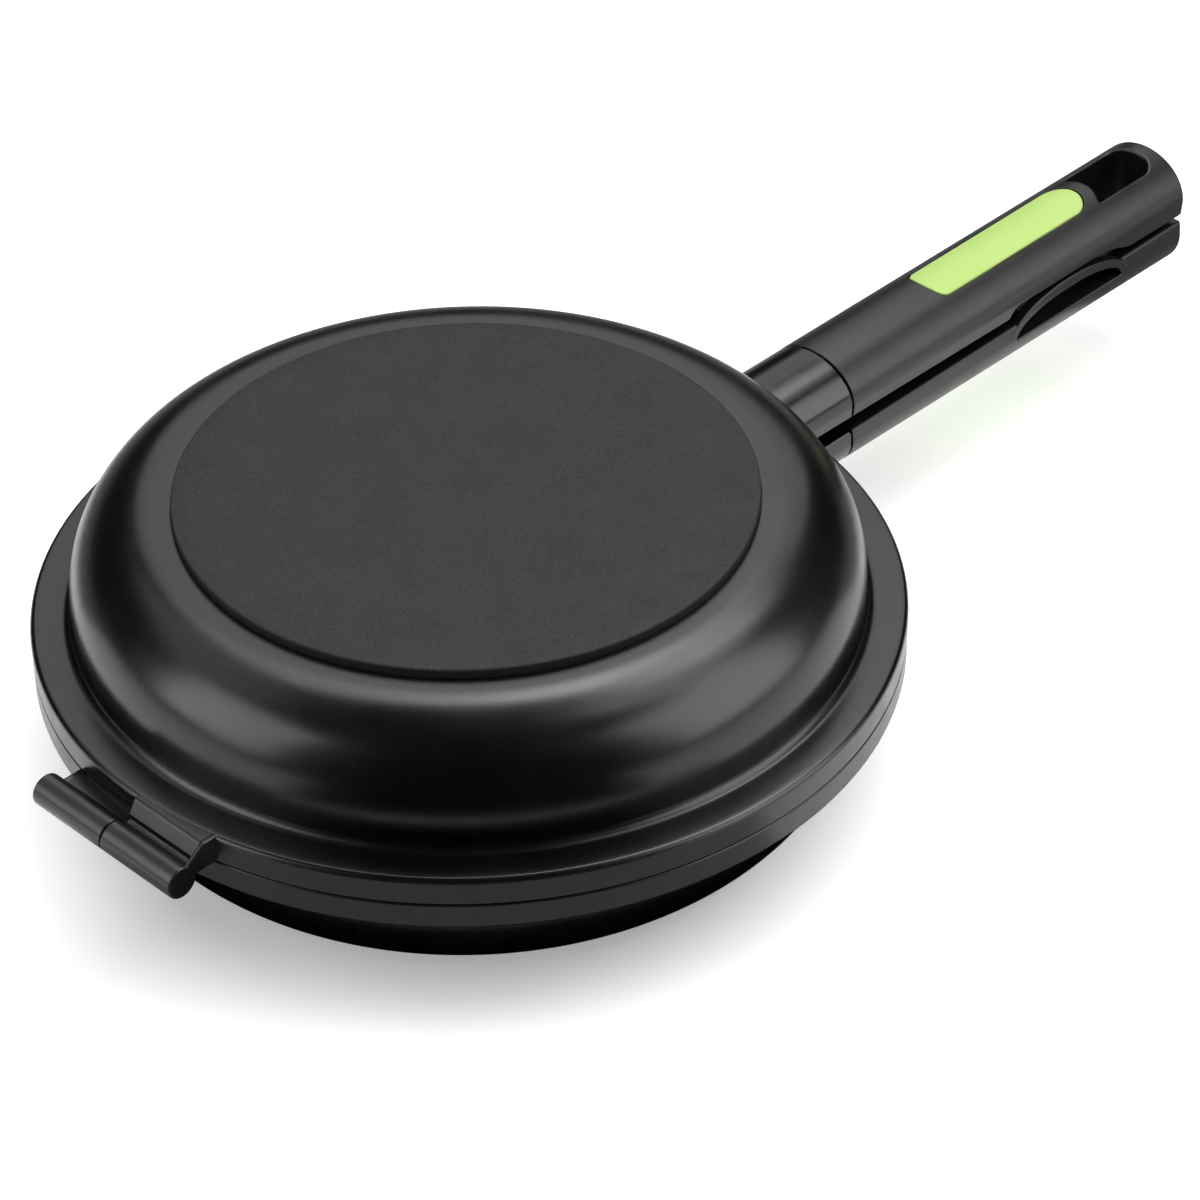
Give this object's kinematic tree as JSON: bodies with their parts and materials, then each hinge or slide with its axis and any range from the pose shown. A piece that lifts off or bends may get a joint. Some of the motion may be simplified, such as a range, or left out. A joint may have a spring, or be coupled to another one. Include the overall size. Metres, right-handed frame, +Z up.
{
  "type": "double omelette pan",
  "caption": "Double omelette pan: two equal shallow frying pans joined by a barrel hinge, with paired half-round handles.",
  "frame": {"origin": "centre of the lower base disc's underside, where the closed pan rests", "axes": "+Z up, +X along the handles away from the hinge, +Y along the hinge pin"},
  "size_m": [0.4637, 0.26, 0.0944],
  "materials": {
    "pan_enamel": "black satin enamel over cast aluminium, faint metallic speckle",
    "base_disc": "matt dark grey, fine ground texture",
    "ferrule_gloss": "gloss black",
    "grip_satin": "satin black, finely sparked",
    "pad_lime": "matt soft-touch",
    "steel": "bright zinc-plated"
  },
  "bodies": {
    "lower_half": {"lower_pan": "pan_enamel", "lower_base_disc": "base_disc", "lower_ferrule": "ferrule_gloss", "lower_grip": "grip_satin", "lower_grip_pad": "pad_lime", "lower_handle_screw": "steel", "lower_screw_washer": "steel", "hinge_pin": "steel"},
    "upper_half": {"upper_pan": "pan_enamel", "upper_base_disc": "base_disc", "upper_ferrule": "ferrule_gloss", "upper_grip": "grip_satin", "upper_grip_pad": "pad_lime", "upper_handle_screw": "steel", "upper_screw_washer": "steel"}
  },
  "joints": [
    {"name": "pan_hinge", "type": "hinge", "parent": "lower_half", "child": "upper_half", "pos_m": [-0.1392, 0, 0.0472], "axis": [0, -1, 0], "range_deg": [0, 180]}
  ]
}
